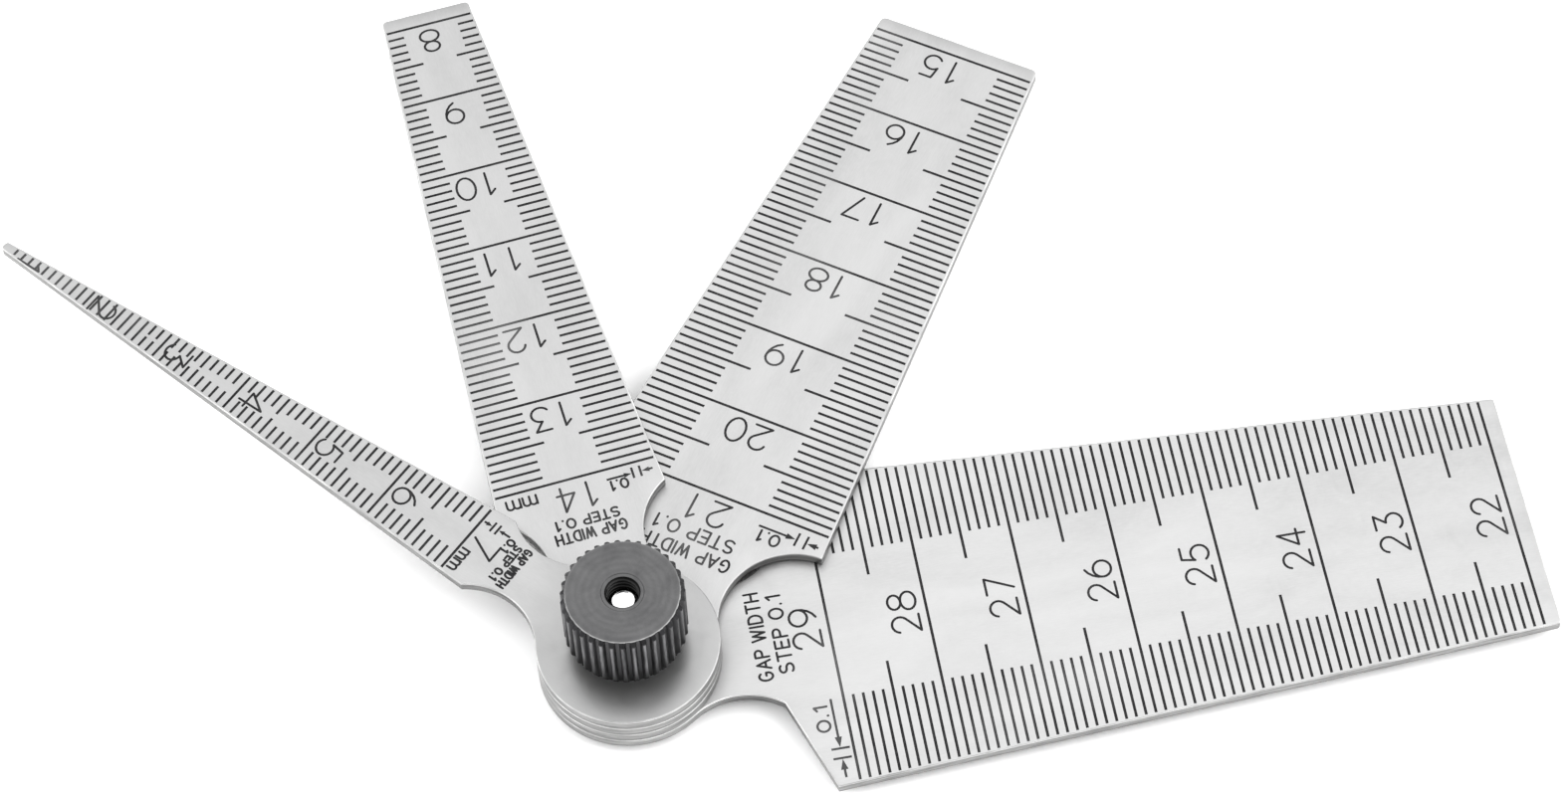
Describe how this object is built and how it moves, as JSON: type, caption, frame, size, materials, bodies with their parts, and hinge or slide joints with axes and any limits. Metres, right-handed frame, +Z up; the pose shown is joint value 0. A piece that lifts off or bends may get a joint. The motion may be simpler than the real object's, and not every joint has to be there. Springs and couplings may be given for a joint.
{
  "type": "taper gap gauge",
  "caption": "Hand gauge of flat tapered steel leaves with engraved width scales, fanned on one pivot stud and clamped by a knurled thumb knob.",
  "frame": {"origin": "on the pivot stud's axis, at the underside of its flange, where the gauge rests", "axes": "+Z up along the stud towards the knob; the leaves lie in planes parallel to XY and are fanned from near +X, where the widest points, round to the narrowest at 141.5 degrees"},
  "size_m": [0.1281, 0.0785, 0.013],
  "materials": {
    "leaf_steel": "fine satin stainless steel, marks engraved and filled black",
    "stud_steel": "bright turned steel",
    "washer_steel": "plain steel",
    "black_oxide": "black oxide on turned and knurled steel, semi-matt"
  },
  "bodies": {
    "pivot": {"pivot_stud": "stud_steel"},
    "widest_leaf": {"leaf_22_to_29mm": "leaf_steel"},
    "wide_leaf": {"leaf_15_to_21mm": "leaf_steel"},
    "narrow_leaf": {"leaf_8_to_14mm": "leaf_steel"},
    "narrowest_leaf": {"leaf_1_to_7mm": "leaf_steel"},
    "washer": {"thrust_washer": "washer_steel"},
    "knob": {"lock_knob": "black_oxide"}
  },
  "joints": [
    {"name": "widest_leaf_swing", "type": "hinge", "parent": "pivot", "child": "widest_leaf", "pos_m": [0, 0, 0.00152], "axis": [0, 0, 1], "continuous": true},
    {"name": "wide_leaf_swing", "type": "hinge", "parent": "pivot", "child": "wide_leaf", "pos_m": [0, 0, 0.00252], "axis": [0, 0, 1], "continuous": true},
    {"name": "narrow_leaf_swing", "type": "hinge", "parent": "pivot", "child": "narrow_leaf", "pos_m": [0, 0, 0.00352], "axis": [0, 0, 1], "continuous": true},
    {"name": "narrowest_leaf_swing", "type": "hinge", "parent": "pivot", "child": "narrowest_leaf", "pos_m": [0, 0, 0.00452], "axis": [0, 0, 1], "continuous": true},
    {"name": "knob_lift", "type": "slide", "parent": "pivot", "child": "washer", "axis": [0, 0, 1], "range_m": [0, 0.005]},
    {"name": "knob_turn", "type": "hinge", "parent": "washer", "child": "knob", "pos_m": [0, 0, 0.0055], "axis": [0, 0, 1], "range_deg": [0, 3605]}
  ],
  "couplings": [
    {"joint": "knob_turn", "follows": "knob_lift", "rad_per_m": 12566}
  ]
}
